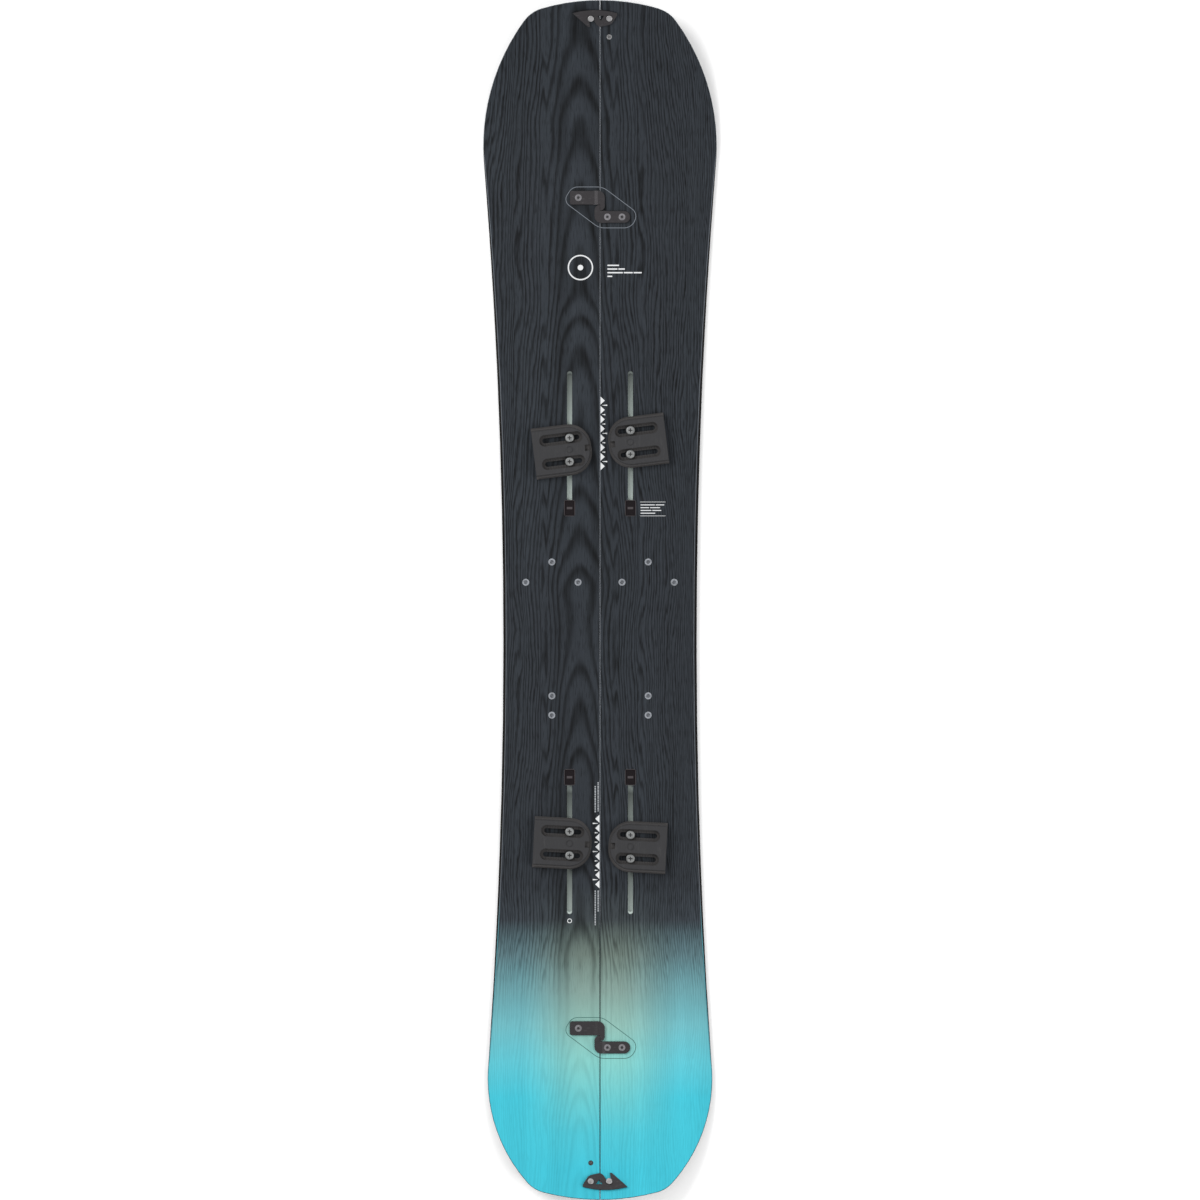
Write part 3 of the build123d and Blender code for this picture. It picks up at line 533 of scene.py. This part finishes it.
# ---- prints on the topsheet ----
ink_lift = 0.07 * MM
ink_depth = 0.05 * MM
decks = {}
for name in halves:
    mesh = nodes[f"{name}_topsheet"].data
    polygons = [tuple(p.vertices) for p in mesh.polygons]
    decks[name] = BVHTree.FromPolygons([v.co for v in mesh.vertices], polygons)


def deck_z(half, x, y):
    """Height of a half's deck at (x, y), found by looking straight down."""
    hit = decks[half].ray_cast(Vector((x, y, 1.0)), Vector((0, 0, -1)))[0]
    if hit is None:
        hit = decks[half].find_nearest(Vector((x, y, high_corner.z / 2)))[0]
    return hit.z


def add_print(bm, half, outline):
    """One closed patch of ink over a convex outline, laid on the deck."""
    heights = [deck_z(half, x, y) for x, y in outline]
    top = [bm.verts.new((x, y, z + ink_lift)) for (x, y), z in zip(outline, heights)]
    bottom = [bm.verts.new((x, y, z - ink_depth)) for (x, y), z in zip(outline, heights)]
    bm.faces.new(top)
    bm.faces.new(bottom[::-1])
    for i in range(len(outline)):
        j = (i + 1) % len(outline)
        bm.faces.new((top[i], bottom[i], bottom[j], top[j]))


def add_ribbon(bm, half, points, width, closed=False):
    """A closed band of ink along a line of points."""
    count = len(points)
    rows = []
    for i, (x, y) in enumerate(points):
        before = points[i - 1] if (i > 0 or closed) else points[i]
        after = points[(i + 1) % count] if (i < count - 1 or closed) else points[i]
        along = Vector((after[0] - before[0], after[1] - before[1])).normalized()
        off = Vector((-along.y, along.x)) * width / 2
        z = deck_z(half, x, y)
        rows.append([
            bm.verts.new((x + s * off.x, y + s * off.y, z + lift))
            for s, lift in ((1, ink_lift), (-1, ink_lift), (-1, -ink_depth), (1, -ink_depth))
        ])
    steps = count if closed else count - 1
    for i in range(steps):
        here, there = rows[i], rows[(i + 1) % count]
        for k in range(4):
            bm.faces.new((here[k], here[(k + 1) % 4], there[(k + 1) % 4], there[k]))
    if not closed:
        bm.faces.new(rows[0][::-1])
        bm.faces.new(rows[-1])


def make_piece(name, bm, half, ink):
    """Turns the gathered prints into one piece that rides on its half."""
    bmesh.ops.recalc_face_normals(bm, faces=bm.faces)
    mesh = bpy.data.meshes.new(name)
    bm.to_mesh(mesh)
    bm.free()
    piece = bpy.data.objects.new(name, mesh)
    bpy.context.scene.collection.objects.link(piece)
    mesh.materials.append(ink)
    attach(piece, f"{half}_half")
    return piece


def rectangle(x, y, width, height):
    """Corners of a rectangle from its lower left corner."""
    return [(x, y), (x + width, y), (x + width, y + height), (x, y + height)]


def circle_points(x, y, radius, count=48):
    turn = 2 * math.pi / count
    return [(x + radius * math.cos(i * turn), y + radius * math.sin(i * turn)) for i in range(count)]


def rounded_loop(corners, radii, arc_steps=10, longest=8 * MM):
    """Points along a closed loop of straight runs whose corners are rounded."""
    points = []
    count = len(corners)
    for i in range(count):
        corner = Vector(corners[i])
        back = (Vector(corners[i - 1]) - corner).normalized()
        on = (Vector(corners[(i + 1) % count]) - corner).normalized()
        half_angle = back.angle(on) / 2
        cut = radii[i] / math.tan(half_angle)
        centre = corner + (back + on).normalized() * radii[i] / math.sin(half_angle)
        start = corner + back * cut - centre
        sweep = start.angle_signed(corner + on * cut - centre)
        for k in range(arc_steps + 1):
            a = -sweep * k / arc_steps
            turned = Vector((
                start.x * math.cos(a) - start.y * math.sin(a),
                start.x * math.sin(a) + start.y * math.cos(a),
            ))
            points.append(centre + turned)
    filled = []
    for i, point in enumerate(points):
        following = points[(i + 1) % len(points)]
        pieces = max(1, math.ceil((following - point).length / longest))
        filled += [point.lerp(following, k / pieces) for k in range(pieces)]
    return [(p.x, p.y) for p in filled]


def part_of_loop(loop, side, clear):
    """The run of a loop that lies on one side of the seam, cut off clear of it."""
    def inside(p):
        return side * p[0] > clear
    count = len(loop)
    first = next(i for i in range(count) if inside(loop[i]) and not inside(loop[i - 1]))
    run = []
    i = first
    while inside(loop[i % count]) and len(run) < count:
        run.append(loop[i % count])
        i += 1

    def at_seam(out, near):
        t = (side * clear - out[0]) / (near[0] - out[0])
        return (side * clear, out[1] + t * (near[1] - out[1]))
    return [at_seam(loop[first - 1], run[0])] + run + [at_seam(loop[i % count], run[-1])]


white_ink = ink_material("white_ink", (238, 240, 241), (205, 208, 210))
pale_ink = ink_material("pale_ink", (176, 180, 184), (130, 134, 140))
grey_ink = ink_material("grey_ink", (120, 126, 134), (92, 98, 106))
teal_ink = ink_material("teal_ink", (66, 112, 106), (84, 138, 130))
seam_clear = 0.75 * MM

# A lens-shaped outline round each pair of hooks, half of it on each side
lens_corners = [(-36, 25.9), (3.5, 25.9), (49.5, -8.5), (41, -27.4), (-1.2, -27.4), (-47.8, 7.5)]
lens_radii = [13, 22, 12, 15, 22, 10]
for end, y in hook_y.items():
    corners = [(x * MM, y + dy * MM) for x, dy in lens_corners]
    loop = rounded_loop(corners, [r * MM for r in lens_radii])
    for half, side in halves.items():
        bm = bmesh.new()
        add_ribbon(bm, half, part_of_loop(loop, side, seam_clear), 0.85 * MM)
        make_piece(f"{half}_{end}_hook_outline", bm, half, grey_ink if end == "nose" else teal_ink)

# A plain ring with a dot, and rows of bars in place of lettering
emblem = (-25.5 * MM, 432.6 * MM)
emblem_radius = 15.7 * MM
emblem_dot_radius = 3.6 * MM
bm = bmesh.new()
add_ribbon(bm, "left", circle_points(*emblem, emblem_radius), 1.7 * MM, closed=True)
add_print(bm, "left", circle_points(*emblem, emblem_dot_radius, 32))
make_piece("left_ring_print", bm, "left", white_ink)


def bar_rows(bm, half, x, y, rows, height, pitch):
    """Rows of bars, downwards from y; each row lists the lengths of its bars."""
    for row, lengths in enumerate(rows):
        left = x
        for length in lengths:
            add_print(bm, half, rectangle(left, y - row * pitch, length * MM, height))
            left += (length + 1.3) * MM


bm = bmesh.new()
bar_rows(
    bm, "right", 9.7 * MM, 434.6 * MM,
    [[15.0], [13.0, 8.3], [20.0, 11.5, 10.4], [6.2]], 1.7 * MM, 4.75 * MM,
)
make_piece("right_bar_rows", bm, "right", white_ink)

label_x, label_y = 52.2 * MM, 109.2 * MM  # its lower left corner
label_width, label_height = 33.0 * MM, 18.6 * MM
rule = 0.5 * MM
bm = bmesh.new()
for y in (label_y, label_y + label_height - rule):
    add_print(bm, "right", rectangle(label_x, y, label_width, rule))
bar_rows(
    bm, "right", label_x + 0.6 * MM, label_y + 14.0 * MM,
    [[18.5, 11.0], [11.0, 13.0], [14.0, 11.5], [19.0]], 1.1 * MM, 3.6 * MM,
)
make_piece("right_label_print", bm, "right", white_ink)


# Stance scale along the seam beside each pair of pucks: triangles with ruler ticks between them
def stance_scale(half, side, top_y, marks, pitch):
    bm = bmesh.new()
    base = side * seam_clear
    for i in range(marks):
        y = top_y - i * pitch
        tip = base + side * 5.4 * MM
        outline = [(base, y - 0.42 * pitch), (tip, y), (base, y + 0.42 * pitch)]
        add_print(bm, half, outline if side < 0 else outline[::-1])
        if i < marks - 1:
            reach = (8.6 if i % 3 == 0 else 6.0) * MM
            tick_y = y - pitch / 2
            inner = base + side * 2.2 * MM
            outer = base + side * reach
            add_print(bm, half, [
                (inner, tick_y - 0.2 * MM), (outer, tick_y - 0.9 * MM),
                (outer, tick_y + 0.9 * MM), (inner, tick_y + 0.2 * MM),
            ])
    make_piece(f"{half}_stance_scale", bm, half, white_ink)


scale_pitch = 12.2 * MM
stance_scale("right", 1, 259.5 * MM, 8, scale_pitch)
stance_scale("left", -1, -284.6 * MM, 8, scale_pitch)

# Two columns of fine dashes above and below the rear scale, and a small ring by the slot's end
random.seed(7)
dash_width = 1.6
dash_columns = [(-2.4, -237, -275), (-6.2, -242, -275), (-2.4, -378, -405), (-6.2, -378, -423)]
bm = bmesh.new()
for x, top, bottom in dash_columns:
    y = top
    while y > bottom:
        dash = random.uniform(1.2, 3.4)
        corner = ((x - dash_width / 2) * MM, (y - dash) * MM)
        add_print(bm, "left", rectangle(*corner, dash_width * MM, dash * MM))
        y -= dash + 0.7
make_piece("left_dash_columns", bm, "left", pale_ink)
bm = bmesh.new()
add_ribbon(bm, "left", circle_points(-39.6 * MM, -417.5 * MM, 2.6 * MM, 28), 0.9 * MM, closed=True)
make_piece("left_slot_ring", bm, "left", white_ink)


# ---- floor, light and camera ----
def make_floor():
    s = Shader("pale_floor")
    tone = s.noise(s.scaled(3.0, 3.0, 3.0), detail=3.0)
    paint = s.mix(s.span(tone, 0.3, 0.7), (0.93, 0.93, 0.93, 1), (0.96, 0.96, 0.96, 1))
    s.finish(paint, 0.85, specular=0.1)
    bm = bmesh.new()
    size = 9.0
    height = -0.3 * MM
    signs = ((-1, -1), (1, -1), (1, 1), (-1, 1))
    bm.faces.new([bm.verts.new((x * size, y * size, height)) for x, y in signs])
    mesh = bpy.data.meshes.new("floor")
    bm.to_mesh(mesh)
    bm.free()
    mesh.materials.append(s.material)
    floor = bpy.data.objects.new("floor", mesh)
    bpy.context.scene.collection.objects.link(floor)


def make_light(name, place, size, power):
    light = bpy.data.lights.new(name, "AREA")
    light.shape = "SQUARE"
    light.size = size
    light.energy = power
    lamp = bpy.data.objects.new(name, light)
    lamp.location = place
    lamp.rotation_euler = (-Vector(place)).to_track_quat("-Z", "Y").to_euler()
    bpy.context.scene.collection.objects.link(lamp)


def make_camera():
    """Straight down from far above, with the board filling the picture's height."""
    camera_height = 40.0
    sensor = 36.0
    data = bpy.data.cameras.new("camera")
    data.sensor_width = sensor
    data.lens = sensor / 2 * (camera_height - high_corner.z) / half_length
    camera = bpy.data.objects.new("camera", data)
    camera.location = (0.0, 0.0, camera_height)
    bpy.context.scene.collection.objects.link(camera)
    bpy.context.scene.camera = camera


make_floor()
make_light("key_softbox", (-2.6, 1.8, 3.4), 2.6, 150.0)
make_light("fill_softbox", (3.0, -1.4, 3.2), 2.8, 95.0)
make_camera()
world = bpy.data.worlds.new("studio")
bpy.context.scene.world = world
world.use_nodes = True
world.node_tree.nodes["Background"].inputs["Color"].default_value = (1.0, 1.0, 1.0, 1.0)
world.node_tree.nodes["Background"].inputs["Strength"].default_value = 0.75
bpy.context.scene.view_settings.view_transform = "Standard"
